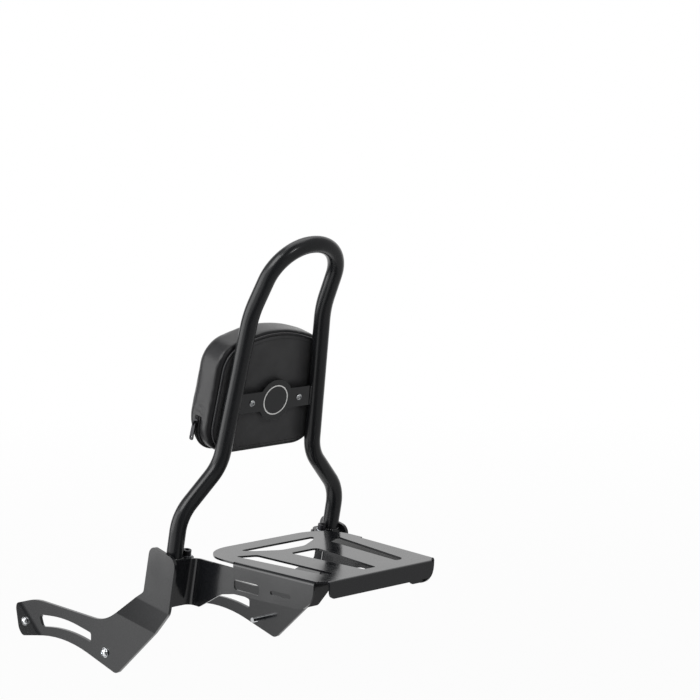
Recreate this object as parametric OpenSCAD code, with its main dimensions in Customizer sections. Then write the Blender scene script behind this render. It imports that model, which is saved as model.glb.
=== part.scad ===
// Backrest hoop with pad and small luggage rack for a motorbike.
// +X is the bike's right, +Y is forward, +Z is up. The origin lies on the top face of the rack deck,
// in the middle of the bar between the front opening and the three long openings.

/* [Hoop] */
// Outside diameter of the hoop tube
tube_d = 25; // [20:0.5:32]
// Wall of the hoop tube
tube_wall = 2; // [1.5:0.25:3]
// Lean of the legs to the rear, in degrees
hoop_lean = 12; // [6:1:18]
// Half the distance between the feet, tube centre to tube centre
foot_half_w = 154; // [135:1:180]
// Half the distance between the legs at the start of their long straight run
leg_low_half_w = 89.5; // [80:0.5:100]
// Half the distance between the legs at the kick back of the top
leg_high_half_w = 70; // [64:0.5:78]
// Height of the first bend above the foot, along the lean
bend_low_h = 71; // [66:1:85]
// Height of the second bend above the foot, along the lean
bend_mid_h = 142.5; // [130:0.5:160]
// Height of the kick back above the foot, along the lean
kick_h = 376; // [350:1:440]
// Angle of the kick back, in degrees
kick_angle = 17.5; // [8:0.5:25]
// Length of the kicked back top, along the tube plane
top_len = 118; // [100:1:140]
// Half the distance between the legs where the top arch would close
arch_half_w = 61; // [54:0.5:68]
// Centre line radius of the leg bends
bend_r = 65; // [45:1:75]
// Centre line radius of the kick back
kick_r = 130; // [80:1:150]
// Distance from the rack deck's origin forward to the foot
foot_y = 104; // [90:1:125]
// Height of the foot's seat below the rack deck
foot_drop = 11.5; // [8:0.5:20]

/* [Feet] */
// Thickness of the plate welded under each leg, and of the seat it is bolted to
foot_plate_t = 5; // [4:0.5:8]
// Reach of the foot plate from the tube centre towards the middle of the bike
foot_plate_reach = 30; // [28:0.5:40]
// Depth of the foot plate, front to back
foot_plate_depth = 26; // [24:0.5:34]
// Distance of the foot bolt from the tube centre, towards the middle of the bike
foot_bolt_in = 20.5; // [20:0.25:24]
// Distance of the foot bolt behind the tube centre
foot_bolt_back = 3; // [0:0.25:4]

/* [Side plates] */
// Thickness of the side plates
side_t = 5; // [4:0.5:6]
// Reach of the tab behind the leg's centre
tab_back = 25; // [22:0.5:34]
// Reach of the tab in front of the leg's centre
tab_front = 38; // [32:0.5:48]
// Height of the tab's top above the seat of the foot
tab_top = 12.5; // [8:0.5:20]
// How far the lower arm lies inside the tab
jog = 10; // [6:0.5:14]
// Width of the sloping strip between the two bends of the jog
jog_strip = 47; // [40:1:60]
// Rise of the jog's bend lines towards the front, in degrees
jog_rise = 7.5; // [0:0.5:12]
// Height of the jog's upper bend line below the deck, at the rear bolt
jog_drop = 66; // [60:1:80]
// Distance from the foot forward to the rear mounting bolt
rear_bolt_fwd = 164; // [150:1:185]
// Height of the rear mounting bolt below the deck
rear_bolt_drop = 186; // [170:1:205]
// Distance between the two mounting bolts of a side
bolt_pitch = 223; // [205:1:245]
// Height of the front mounting bolt above the rear one
front_bolt_rise = 5; // [0:0.5:15]
// Height of the arm's upper edge above the rear bolt
arm_top = 48.5; // [40:0.5:58]
// Reach of the arm's front end past the front bolt
arm_nose = 36; // [26:0.5:44]
// Angle by which the front end turns inwards, in degrees
nose_angle = 14; // [6:1:22]
// Direction of the front end's bend line, in degrees from level
nose_bend_dir = 38; // [25:1:60]
// Distance of the front end's bend line behind the front bolt
nose_bend_back = 17; // [16.5:0.5:24]
// Height of the long opening in the arm
arm_slot_h = 15.5; // [10:0.5:19]
// Length of the long opening in the arm
arm_slot_len = 141; // [110:1:150]

/* [Rack] */
// Thickness of the folded rack sheet
rack_t = 3; // [2.5:0.25:4]
// Outside radius of the rack's folds
fold_r = 5; // [4.5:0.25:7]
// Width of the deck at its front
deck_w = 254; // [230:1:280]
// Narrowing of each side towards the rear, in degrees
deck_taper = 3; // [1:0.25:4.5]
// Distance from the origin to the deck's front edge
deck_front = 83; // [76:0.5:92]
// Distance from the origin back to the rear lip
deck_rear = 184.5; // [176:0.5:205]
// Radius of the deck's front corners
nose_r = 58; // [45:1:66]
// Height of the folded side flanges
flange_h = 47; // [40:0.5:56]
// Distance from the origin back to the rear end of the flanges
flange_rear = 167; // [160:0.5:172]
// Start of the folded edge in front of the origin, negative behind it
fold_start = -1.5; // [-8:0.5:6]
// Depth of the strap's top edge below the deck
strap_drop = 9; // [7:0.5:12]
// Length of the rear lip
lip_w = 201; // [180:1:215]
// Height of the rear lip
lip_h = 25; // [18:0.5:32]
// Radius of the rear lip's lower corners
lip_r = 9; // [4:0.5:11]
// Inside radius of the bend between the foot wall and the strap
wall_r = 12; // [8:0.5:16]
// Depth of the foot wall below the deck
wall_drop = 82; // [74:0.5:90]

/* [Deck openings] */
// Half the length of the front opening
front_slot_half = 75; // [60:1:85]
// Depth of the front opening, front to back
front_slot_depth = 38; // [26:1:40]
// Distance from the origin to the front edge of the front opening
front_slot_y = 50; // [47:0.5:53]
// Distance from the origin back to the three long openings
long_slot_front = 10.5; // [8:0.5:14]
// Distance from the origin back to the rear end of the long openings
long_slot_rear = 158; // [130:1:162]
// Half the width of the middle opening at its front
mid_slot_front = 26.5; // [20:0.5:32]
// Half the width of the middle opening at its rear
mid_slot_rear = 11.5; // [8:0.5:16]
// Distance from the centre line to the inner edge of the side openings, at the front
side_slot_in_front = 70.5; // [64:0.5:76]
// Distance from the centre line to the inner edge of the side openings, at the rear
side_slot_in_rear = 61; // [55:0.5:65]
// Distance from the centre line to the outer edge of the side openings, at the front
side_slot_out_front = 101; // [92:0.5:106]
// Distance from the centre line to the outer edge of the side openings, at the rear
side_slot_out_rear = 78; // [72:0.5:84]

/* [Flange openings] */
// Length of the large window in each flange
window_len = 54; // [40:0.5:62]
// Height of the large window
window_h = 15.5; // [10:0.5:18]
// Length of the strap opening in each flange
strap_slot_len = 43; // [34:0.5:50]
// Height of the strap opening
strap_slot_h = 7; // [5:0.5:10]
// Height of the middle of the window below the deck
window_drop = 32.5; // [29:0.5:35]
// Distance from the fold's start back to the window
window_back = 1.5; // [1:0.5:8]
// Distance between the window and the strap opening
slot_bridge = 23; // [16:0.5:30]

/* [Cross brace] */
// Distance from the origin back to the cross brace
brace_back = 147; // [135:0.5:150]
// Depth of the cross brace's feet below the deck
brace_foot = 41; // [34:0.5:44]
// Depth of the cross brace at its middle
brace_mid = 20; // [14:0.5:26]
// Width of each foot of the cross brace
brace_foot_w = 24; // [16:0.5:30]

/* [Cross plate] */
// Thickness of the plate between the legs
plate_t = 4; // [3:0.5:5]
// Height of the plate
plate_h = 31.5; // [26:0.5:38]
// Height of the plate's middle above the foot
plate_z = 236; // [225:0.5:250]
// Diameter of the disc in the middle of the plate
disc_d = 64; // [50:0.5:80]
// Distance between the pad bolts
pad_bolt_pitch = 92; // [80:1:110]

/* [Pad] */
// Half the width of the back panel at its foot
panel_half_low = 101.5; // [90:0.5:110]
// Half the width of the back panel at its shoulders
panel_half_high = 91; // [84:0.5:105]
// Height of the panel's lower edge above the foot
pad_low = 158; // [148:0.5:166]
// Height of the panel's shoulders above the foot
pad_shoulder = 311; // [300:0.5:330]
// Rise of the panel's top above its shoulders, measured to the peak of its edges
pad_arch = 30; // [16:0.5:32]
// Radius of the panel's arched top edge
pad_arch_r = 170; // [140:5:180]
// Swell of the cushion past the panel at each side
pad_swell = 11.5; // [8:0.5:24]
// Swell of the cushion past the panel at the top
pad_swell_top = 7; // [4.5:0.5:14]
// Thickness of the cushion from the panel to its front edge
pad_depth = 60; // [48:0.5:72]
// Crown of the cushion's front
pad_crown = 5; // [3:0.5:12]
// Thickness of the leather-look cover
cover_t = 1.5; // [1:0.1:2.5]
// Thickness of the base board inside the pad
board_t = 9; // [8:0.5:14]
// Rise of the cushion's underside towards its front
pad_under_rise = 18; // [6:0.5:22]
// Diameter of the piping around the back panel
piping_d = 4; // [3:0.25:5]
// Height above the panel's lower edge to which the zip rises at each side
zip_rise = 50; // [40:1:80]
// Width of the zip's tape
zip_w = 13; // [10:0.5:16]
// Depth of the zip's middle line, from the panel's rear face
zip_depth = 28; // [22:0.5:31]
// Length of the zip pull
pull_len = 27; // [20:0.5:40]

/* [Fasteners] */
// Thread diameter of the mounting and foot bolts
m8_d = 8; // [6:0.5:10]
// Head diameter of the mounting bolts
m8_head_d = 14; // [12:0.5:18]
// Head height of the mounting bolts
m8_head_h = 4.4; // [3.5:0.1:6]
// Free length of the mounting bolts past the side plate
bolt_free = 25; // [15:0.5:40]
// Head diameter of the foot bolts
cap_head_d = 13; // [10:0.5:14]
// Width across the flats of the foot nuts
m8_nut_af = 13; // [11:0.5:15]
// Thread diameter of the pad bolts
m6_d = 6; // [5:0.5:8]
// Head diameter of the pad bolts
m6_head_d = 10.5; // [9:0.5:13]
// Head height of the pad bolts
m6_head_h = 3.3; // [2.5:0.1:5]
// Clearance of a bolt in its hole, on the diameter
bolt_clear = 0.6; // [0.4:0.1:1]
// Gap left between pieces that lie against each other
seat_gap = 0.1; // [0.05:0.05:0.2]

/* [Hidden] */
$fn = 64;

// Places that follow from the sizes above
foot_z = -foot_drop;
tube_r = tube_d / 2;
wall_front_n = -(tube_r + 0.5);
wall_back_n = wall_front_n - rack_t;
tab_inner_x = foot_half_w + tube_r + 0.5;
tab_outer_x = tab_inner_x + side_t;
arm_outer_x = tab_outer_x - jog;
strap_outer_x = deck_w / 2;
strap_inner_x = strap_outer_x - rack_t;
pad_back_n = tube_r + 0.3;
pad_cloth_n = pad_back_n + cover_t;
cover_rim_n = pad_back_n + piping_d + seat_gap;
board_n = pad_cloth_n + seat_gap;
foam_n = board_n + board_t + seat_gap;
pad_front_n = pad_back_n + pad_depth;
rear_bolt = [foot_y + rear_bolt_fwd, -rear_bolt_drop];
front_bolt = rear_bolt + [bolt_pitch, front_bolt_rise];
washer_t = 1.6;

// Vector helpers
function unit(v) = v / norm(v);
function lerp(a, b, k) = a + (b - a) * k;
function turn_angle(a, b) = acos(min(1, max(-1, unit(a) * unit(b))));
function cross_z(a, b) = a[0] * b[1] - a[1] * b[0];

// A closed outline whose corners are rounded by arcs, each of steps + 1 points
function round_outline(pts, radii, steps = 8) =
    let (n = len(pts))
    [for (i = [0 : n - 1])
        let (
            p = pts[i],
            a = unit(pts[(i + n - 1) % n] - p),
            b = unit(pts[(i + 1) % n] - p),
            open = acos(a * b),
            r = radii[i],
            reach = r / tan(open / 2),
            centre = p + unit(a + b) * r / sin(open / 2),
            side = cross_z(a, b) > 0 ? 1 : -1,
            start = p + a * reach - centre,
            sweep = (180 - open) * side
        )
        for (k = [0 : (r > 0 ? steps : 0)])
            let (w = -sweep * k / steps)
            centre + [start[0] * cos(w) - start[1] * sin(w), start[0] * sin(w) + start[1] * cos(w)]];

// A bent sheet seen from its edge: a path with rounded corners, thickened to both sides
function sheet_side(path, radii, shift, steps = 8) =
    let (n = len(path))
    [for (i = [0 : n - 1])
        let (
            a = i == 0 ? undef : unit(path[i] - path[i - 1]),
            b = i == n - 1 ? undef : unit(path[i + 1] - path[i]),
            d = i == 0 ? b : a,
            left = [-d[1], d[0]]
        )
        if (i == 0 || i == n - 1) path[i] + left * shift
        else
            let (
                side = cross_z(a, b) > 0 ? 1 : -1,
                turn = turn_angle(a, b),
                r = radii[i - 1],
                centre = path[i] - a * r * tan(turn / 2) + left * side * r,
                out = -left * side * (r - side * shift)
            )
            for (k = [0 : steps])
                let (w = turn * side * k / steps)
                centre + [out[0] * cos(w) - out[1] * sin(w), out[0] * sin(w) + out[1] * cos(w)]];
function flatten_one(list) = [for (item = list) if (is_num(item[0])) item else each item];
function sheet_edge(path, radii, t) =
    let (
        one = flatten_one(sheet_side(path, radii, t / 2)),
        two = flatten_one(sheet_side(path, radii, -t / 2))
    )
    concat(one, [for (i = [len(two) - 1 : -1 : 0]) two[i]]);

// Frames
module at_foot() translate([0, foot_y, foot_z]) rotate([hoop_lean, 0, 0]) children();
module both_sides() {
    children();
    mirror([1, 0, 0]) children();
}
// A point of the hoop's own frame (forward, up) in the frame of the part
function from_foot(n, t) = [
    foot_y + n * cos(hoop_lean) - t * sin(hoop_lean),
    foot_z + n * sin(hoop_lean) + t * cos(hoop_lean)
];
// Puts an outline drawn in (forward, up) upright, extruded towards +X from x0
module upright(x0, length) translate([x0, 0, 0]) rotate([90, 0, 90]) linear_extrude(length) children();

// A round bar or tube along a path with rounded corners, in straight runs and arcs. Each run laps
// into its arcs by a hair and is a hair thicker, so that the pieces join into one body.
lap = 0.3;
lap_step = 0.01;
module bent_ring(path, radii, d) {
    n = len(path);
    cut = [for (i = [0 : n - 1])
        radii[i] * tan(turn_angle(path[i] - path[(i + n - 1) % n], path[(i + 1) % n] - path[i]) / 2)];
    for (i = [0 : n - 1]) {
        j = (i + 1) % n;
        w = unit(path[j] - path[i]);
        run_along(path[i] + w * (cut[i] - lap), path[j] - w * (cut[j] - lap), d + 2 * lap_step, 0);
        bend_at(path[(i + n - 1) % n], path[i], path[j], radii[i], d, 0);
    }
}
module bent_tube(path, radii, outer, inner) {
    n = len(path);
    cut = [for (i = [0 : n - 1])
        i == 0 || i == n - 1 ? 0
        : radii[i - 1] * tan(turn_angle(path[i] - path[i - 1], path[i + 1] - path[i]) / 2)];
    for (i = [0 : n - 2]) {
        d = unit(path[i + 1] - path[i]);
        a = path[i] + d * (cut[i] - (i == 0 ? 0 : lap));
        b = path[i + 1] - d * (cut[i + 1] - (i == n - 2 ? 0 : lap));
        run_along(a, b, outer + 2 * lap_step, inner > 0 ? inner - 2 * lap_step : 0);
    }
    for (i = [1 : n - 2]) bend_at(path[i - 1], path[i], path[i + 1], radii[i - 1], outer, inner);
}
module ring_section(outer, inner) difference() {
    circle(d = outer);
    if (inner > 0) circle(d = inner);
}
module run_along(a, b, outer, inner) {
    w = unit(b - a);
    u = unit(abs(w[0]) > 0.9 ? cross(w, [0, 1, 0]) : cross(w, [1, 0, 0]));
    v = cross(w, u);
    multmatrix([[u[0], v[0], w[0], a[0]], [u[1], v[1], w[1], a[1]], [u[2], v[2], w[2], a[2]]])
        linear_extrude(norm(b - a)) ring_section(outer, inner);
}
module bend_at(before, corner, after, r, outer, inner) {
    a = unit(before - corner);
    b = unit(after - corner);
    turn = 180 - acos(a * b);
    centre = corner + unit(a + b) * r / cos(turn / 2);
    u = unit(corner + a * r * tan(turn / 2) - centre);
    w = unit(cross(a, b)) * -1;
    v = cross(w, u);
    multmatrix([[u[0], v[0], w[0], centre[0]], [u[1], v[1], w[1], centre[1]], [u[2], v[2], w[2], centre[2]]])
        rotate_extrude(angle = turn) translate([r, 0]) ring_section(outer, inner);
}

// Hoop: one tube, bent from foot to foot
kick_point = [leg_high_half_w, 0, kick_h];
arch_corner = [arch_half_w, -top_len * sin(kick_angle), kick_h + top_len * cos(kick_angle)];
arch_turn = acos(unit(kick_point - arch_corner) * [-1, 0, 0]);
arch_r = (arch_half_w - 1.5) / tan((180 - arch_turn) / 2);
right_leg = [
    [foot_half_w, 0, foot_plate_t + seat_gap],
    [foot_half_w, 0, bend_low_h],
    [leg_low_half_w, 0, bend_mid_h],
    kick_point,
    arch_corner
];
function mirrored(p) = [-p[0], p[1], p[2]];
hoop_path = concat(right_leg, [for (i = [len(right_leg) - 1 : -1 : 0]) mirrored(right_leg[i])]);
hoop_radii = [bend_r, bend_r, kick_r, arch_r, arch_r, kick_r, bend_r, bend_r];
// Distance from the centre line to the leg's axis, at a height above the foot
function leg_x(h) = lerp(leg_low_half_w, leg_high_half_w, (h - bend_mid_h) / (kick_h - bend_mid_h));
module hoop() color("#1c1d1f") at_foot() bent_tube(hoop_path, hoop_radii, tube_d, tube_d - 2 * tube_wall);

// Feet: a plate welded under each leg stands on a seat welded into the corner of the side frame
module foot_outline() {
    x_in = foot_half_w - foot_plate_reach;
    x_out = foot_half_w + tube_r;
    n0 = wall_front_n + seat_gap;
    polygon(round_outline(
        [[x_in, n0], [x_out, n0], [x_out, n0 + foot_plate_depth], [x_in, n0 + foot_plate_depth]],
        [6, 2, 2, 10]));
}
module foot_bolt_places() both_sides() at_foot()
    translate([foot_half_w - foot_bolt_in, -foot_bolt_back, 0]) children();
module foot_plates() color("#1c1d1f") difference() {
    both_sides() at_foot() linear_extrude(foot_plate_t) foot_outline();
    foot_bolt_places() translate([0, 0, -1]) cylinder(d = m8_d + bolt_clear, h = foot_plate_t + 2);
}
module foot_seats() color("#1c1d1f") difference() {
    both_sides() at_foot() translate([0, 0, -foot_plate_t - seat_gap]) linear_extrude(foot_plate_t)
        seat_outline();
    foot_bolt_places() translate([0, 0, -2 * foot_plate_t]) cylinder(d = m8_d + bolt_clear, h = 3 * foot_plate_t);
}
module seat_outline() {
    x_in = foot_half_w - foot_plate_reach - 2;
    x_out = tab_inner_x - seat_gap;
    n0 = wall_front_n + seat_gap;
    n1 = foot_plate_depth / 2 + 3;
    polygon(round_outline(
        [[x_in, n0], [x_out, n0], [x_out, n1], [x_in, n1]],
        [1, 0.5, 0.5, 12]));
}
module foot_bolts() color("#2a2b2d") foot_bolt_places() {
    head_h = m8_d;
    top = foot_plate_t + washer_t + seat_gap;
    difference() {
        translate([0, 0, top]) cylinder(d = cap_head_d, h = head_h);
        translate([0, 0, top + head_h / 2]) cylinder(d = m8_d * 0.866, h = head_h, $fn = 6);
    }
    translate([0, 0, top - 26]) cylinder(d = m8_d, h = 26);
}
module foot_washers() color("#b9bcc0") foot_bolt_places() {
    translate([0, 0, foot_plate_t + seat_gap / 2]) flat_washer(m8_d);
    translate([0, 0, -foot_plate_t - 1.5 * seat_gap - washer_t]) flat_washer(m8_d);
}
module foot_nuts() color("#b9bcc0") foot_bolt_places()
    translate([0, 0, -foot_plate_t - 2 * seat_gap - washer_t - 0.8 * m8_d])
        difference() {
            cylinder(d = m8_nut_af / cos(30), h = 0.8 * m8_d, $fn = 6);
            translate([0, 0, -1]) cylinder(d = m8_d + seat_gap, h = m8_d + 2);
        }
module flat_washer(d) difference() {
    cylinder(d = 2 * d, h = washer_t);
    translate([0, 0, -1]) cylinder(d = d + 0.4, h = washer_t + 2);
}

// Side plates: a flat tab beside the leg, a jog inwards and a long arm whose front end turns in
jog_dir = [cos(jog_rise), sin(jog_rise)];
jog_down = [sin(jog_rise), -cos(jog_rise)];
jog_start = [rear_bolt[0], -jog_drop];
nose_dir = [cos(nose_bend_dir), sin(nose_bend_dir)];
nose_fwd = [sin(nose_bend_dir), -cos(nose_bend_dir)];
nose_line = front_bolt - nose_fwd * nose_bend_back;
function side_outline() =
    let (
        arm_z = rear_bolt[1] + arm_top,
        tab_rear = from_foot(-tab_back, tab_top),
        tab_fore = from_foot(tab_front, tab_top),
        tab_fore_low = from_foot(tab_front, -62),
        tab_rear_low = from_foot(-tab_back, -75)
    )
    round_outline(
        [
            tab_rear,
            tab_fore,
            tab_fore_low + [2, -3],
            [rear_bolt[0] + 5, arm_z],
            [front_bolt[0] - 35, arm_z],
            [front_bolt[0] + arm_nose - 8, front_bolt[1] + 24],
            [front_bolt[0] + arm_nose, front_bolt[1] - 34],
            [rear_bolt[0] + 116, rear_bolt[1] + 5.5],
            [rear_bolt[0] - 28, rear_bolt[1] - 28.5],
            tab_rear_low
        ],
        [15, 15, 10, 105, 130, 20, 13, 300, 16, 18]);
function arm_slot_outline() =
    let (
        y0 = rear_bolt[0] + 37.5,
        y1 = y0 + arm_slot_len,
        z0 = rear_bolt[1] + arm_top - 25,
        ym = (y0 + y1) / 2
    )
    round_outline(
        [
            [y0, z0],
            [ym, z0 + 10],
            [y1, z0 + 1.5],
            [y1 - 8, z0 + 3.5 - arm_slot_h - 5],
            [ym - 3, z0 + 10 - arm_slot_h],
            [y0, z0 - arm_slot_h + 0.5]
        ],
        [4, 300, 5, 5, 330, 4]);
// The jog seen along its bend lines: first value outwards, second value down from the upper bend
function jog_profile() = sheet_edge(
    [
        [tab_outer_x - side_t / 2, -160],
        [tab_outer_x - side_t / 2, 0],
        [arm_outer_x - side_t / 2, jog_strip],
        [arm_outer_x - side_t / 2, 400]
    ],
    [12, 12], side_t);
// The front end seen along its bend line, which turns inwards past the line
function nose_profile() = sheet_edge(
    [
        [arm_outer_x - side_t / 2, -200],
        [arm_outer_x - side_t / 2, 0],
        [arm_outer_x - side_t / 2 - 90 * sin(nose_angle), 90 * cos(nose_angle)]
    ],
    [60], side_t);
// Extrudes a profile of (outwards, across the line) along a line in the side view
module along_line(point, direction, across, half_length) {
    start = point - direction * half_length;
    multmatrix([
        [1, 0, 0, 0],
        [0, across[0], direction[0], start[0]],
        [0, across[1], direction[1], start[1]]
    ]) linear_extrude(2 * half_length) children();
}
module side_blank() {
    intersection() {
        along_line(jog_start, jog_dir, jog_down, 400) polygon(jog_profile());
        upright(0, 300) difference() {
            polygon(side_outline());
            nose_area();
        }
    }
    intersection() {
        along_line(nose_line, nose_dir, nose_fwd, 200) polygon(nose_profile());
        upright(0, 300) intersection() {
            polygon(side_outline());
            nose_area();
        }
    }
}
// The region in front of a line across the flat of the arm, between the long opening and the bend
module nose_area() {
    back = nose_line - nose_fwd * 12;
    polygon([
        back - nose_dir * 150,
        back + nose_dir * 150,
        back + nose_dir * 150 + nose_fwd * 200,
        back - nose_dir * 150 + nose_fwd * 200
    ]);
}
// Frame at a mounting hole, with +Z along the bolt towards the bike and its origin on the inner face
module at_rear_hole() translate([arm_outer_x - side_t, rear_bolt[0], rear_bolt[1]])
    rotate([0, -90, 0]) children();
nose_along = [-sin(nose_angle), cos(nose_angle) * nose_fwd[0], cos(nose_angle) * nose_fwd[1]];
nose_in = [-cos(nose_angle), -sin(nose_angle) * nose_fwd[0], -sin(nose_angle) * nose_fwd[1]];
nose_side = cross(nose_in, nose_along);
nose_hole = [arm_outer_x - side_t / 2, nose_line[0], nose_line[1]]
    + nose_along * nose_bend_back / cos(nose_angle) + nose_in * side_t / 2;
module at_front_hole() multmatrix([for (i = [0 : 2]) [nose_along[i], nose_side[i], nose_in[i], nose_hole[i]]])
    children();
module at_holes() {
    at_rear_hole() children();
    at_front_hole() children();
}
module side_plate() difference() {
    side_blank();
    upright(0, 300) polygon(arm_slot_outline());
    at_holes() translate([0, 0, -side_t - 2]) cylinder(d = m8_d + bolt_clear, h = side_t + 4);
}
module side_plate_right() color("#1c1d1f") side_plate();
module side_plate_left() color("#1c1d1f") mirror([1, 0, 0]) side_plate();
module mount_bolt() {
    grip = side_t + washer_t + seat_gap;
    translate([0, 0, -grip]) cylinder(d = m8_d, h = grip + bolt_free);
    translate([0, 0, -grip]) button_head(m8_head_d, m8_head_h, m8_d);
}
// Domed head standing towards -Z, with a hexagon socket
module button_head(d, h, thread) difference() {
    rotate([180, 0, 0]) rotate_extrude() polygon(concat(
        [[0, 0], [d / 2, 0]],
        [for (k = [0 : 8]) let (w = 75 * k / 8) [d / 2 * cos(w) * 0.98 + 0.01, 0.4 + (h - 0.4) * sin(w) / sin(75)]],
        [[0, h]]));
    translate([0, 0, -h - 1]) cylinder(d = thread * 0.72, h = 1 + h * 0.6, $fn = 6);
}
module mount_bolts() color("#d9dbde") both_sides() at_holes() mount_bolt();
module mount_washers() color("#d9dbde") both_sides() at_holes()
    translate([0, 0, -side_t - washer_t - seat_gap / 2]) flat_washer(m8_d);

// Rack: one folded sheet with the deck, two flanges, the rear lip, two straps and two foot walls
function side_x(y) = strap_outer_x - (fold_start - y) * tan(deck_taper);
fold_mid_r = fold_r - rack_t / 2;
function deck_half() = [
    [strap_outer_x, deck_front, nose_r],
    [strap_outer_x, fold_start, 0],
    [side_x(fold_start) - 2 * fold_r, fold_start, 0],
    [side_x(-flange_rear) - 2 * fold_r, -flange_rear, 0],
    [side_x(-flange_rear) - 0.5, -flange_rear, 2],
    [lip_w / 2, -deck_rear + fold_r + 1, 1],
    [lip_w / 2, -deck_rear + 2 * fold_r + 1, 0]
];
module deck_outline() {
    right = deck_half();
    n = len(right);
    all = concat(
        [for (i = [n - 1 : -1 : 0]) [right[i][0], right[i][1], right[i][2]]],
        [for (i = [0 : n - 1]) [-right[i][0], right[i][1], right[i][2]]]);
    polygon(round_outline([for (p = all) [p[0], p[1]]], [for (p = all) p[2]], 10));
}
// Frame at the front end of the right-hand fold, with +X outwards and -Y along the fold
module at_fold() translate([strap_outer_x, fold_start, 0]) rotate([0, 0, -deck_taper]) children();
module flange() at_fold() intersection() {
    rotate([90, 0, 0]) linear_extrude(flange_rear * 2) polygon(sheet_edge(
        [[-24, -rack_t / 2], [-rack_t / 2, -rack_t / 2], [-rack_t / 2, -100]], [fold_mid_r],
        rack_t - 2 * lap_step));
    translate([-40, 0, 0]) upright(0, 60) polygon(round_outline(
        [
            [10, 5],
            [fold_start - flange_rear, 5] / cos(deck_taper),
            [(-fold_start - flange_rear) / cos(deck_taper), -flange_h + 3],
            [-36, -flange_h],
            [10, -flange_h - 0.5]
        ],
        [0, 0, 34, 60, 0]));
}
module flange_openings() both_sides() at_fold() {
    s1 = -window_back;
    s2 = s1 - window_len;
    z1 = -window_drop;
    translate([-40, 0, 0]) upright(0, 60) polygon(round_outline(
        [[s2, z1 - window_h / 2], [s1, z1 - window_h / 2], [s1, z1 + window_h / 2], [s2, z1 + window_h / 2]],
        [5, 5, 5, 5]));
    s3 = s2 - slot_bridge;
    s4 = s3 - strap_slot_len;
    z2 = z1 + 2;
    r = strap_slot_h / 2 - 0.05;
    translate([-40, 0, 0]) upright(0, 60) polygon(round_outline(
        [[s4, z2 - r - 0.05], [s3, z2 - r - 0.05], [s3, z2 + r + 0.05], [s4, z2 + r + 0.05]],
        [r, r, r, r]));
}
module rear_lip() intersection() {
    translate([-lip_w / 2, 0, 0]) rotate([90, 0, 90]) linear_extrude(lip_w) polygon(sheet_edge(
        [[-deck_rear + 24, -rack_t / 2], [-deck_rear + rack_t / 2, -rack_t / 2], [-deck_rear + rack_t / 2, -60]],
        [fold_mid_r], rack_t - 2 * lap_step));
    translate([0, -deck_rear + 40, 0]) rotate([90, 0, 0]) linear_extrude(80) polygon(round_outline(
        [[-lip_w / 2, 5], [-lip_w / 2, -lip_h], [lip_w / 2, -lip_h], [lip_w / 2, 5]], [0, lip_r, lip_r, 0]));
}
// The strap runs down and forward from the flange and bends outwards into the foot wall
function strap_side() = round_outline(
    [
        [fold_start - 2, -strap_drop],
        [150, -strap_drop],
        [150, -wall_drop],
        [deck_front - 4, -wall_drop - 0.5],
        [27, -flange_h - 6.5],
        [fold_start - 2, -flange_h - 0.3]
    ],
    [0, 0, 0, 4, 40, 0]);
module strap_and_wall() intersection() {
    at_foot() translate([0, 0, -140]) linear_extrude(220) polygon(sheet_edge(
        [
            [strap_outer_x - rack_t / 2, -140],
            [strap_outer_x - rack_t / 2, (wall_front_n + wall_back_n) / 2],
            [tab_inner_x - seat_gap, (wall_front_n + wall_back_n) / 2]
        ],
        [wall_r + rack_t / 2], rack_t));
    upright(0, 300) polygon(strap_side());
}
module deck_openings() translate([0, 0, -20]) linear_extrude(40) {
    y1 = front_slot_y;
    y2 = front_slot_y - front_slot_depth;
    h = front_slot_half;
    polygon(round_outline(
        [[h, y1], [-h, y1], [-h * 0.77, y1 - 17], [-h * 0.3, y2], [h * 0.3, y2], [h * 0.77, y1 - 17]],
        [4, 4, 30, 30, 30, 30]));
    yf = -long_slot_front;
    yr = -long_slot_rear;
    polygon(round_outline(
        [[mid_slot_front, yf], [-mid_slot_front, yf], [-mid_slot_rear, yr], [mid_slot_rear, yr]],
        [8, 8, 3, 3]));
    for (side = [-1, 1]) polygon(round_outline(
        [
            [side * side_slot_out_front, yf + 36],
            [side * side_slot_in_front, yf + 22],
            [side * side_slot_in_rear, yr + 10],
            [side * side_slot_out_rear, yr + 10]
        ],
        [3, 8, 4, 12]));
}
module rack() color("#1c1d1f") difference() {
    union() {
        translate([0, 0, -rack_t]) linear_extrude(rack_t) deck_outline();
        rear_lip();
        both_sides() {
            flange();
            strap_and_wall();
        }
    }
    deck_openings();
    flange_openings();
}

// Cross brace: an arched plate across the underside of the deck
module cross_brace() color("#1c1d1f") {
    half = side_x(-brace_back) - rack_t / cos(deck_taper) - rack_t * tan(deck_taper) - seat_gap;
    top = -rack_t - seat_gap;
    inner = half - brace_foot_w;
    translate([0, -brace_back, 0]) rotate([90, 0, 0]) linear_extrude(rack_t) polygon(round_outline(
        [
            [-half + fold_r, top], [-half, top - fold_r], [-half, -brace_foot], [-inner, -brace_foot],
            [-inner + 24, -brace_mid], [inner - 24, -brace_mid],
            [inner, -brace_foot], [half, -brace_foot], [half, top - fold_r], [half - fold_r, top]
        ],
        [1, 1, 2, 8, 18, 18, 8, 2, 1, 1]));
}

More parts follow.
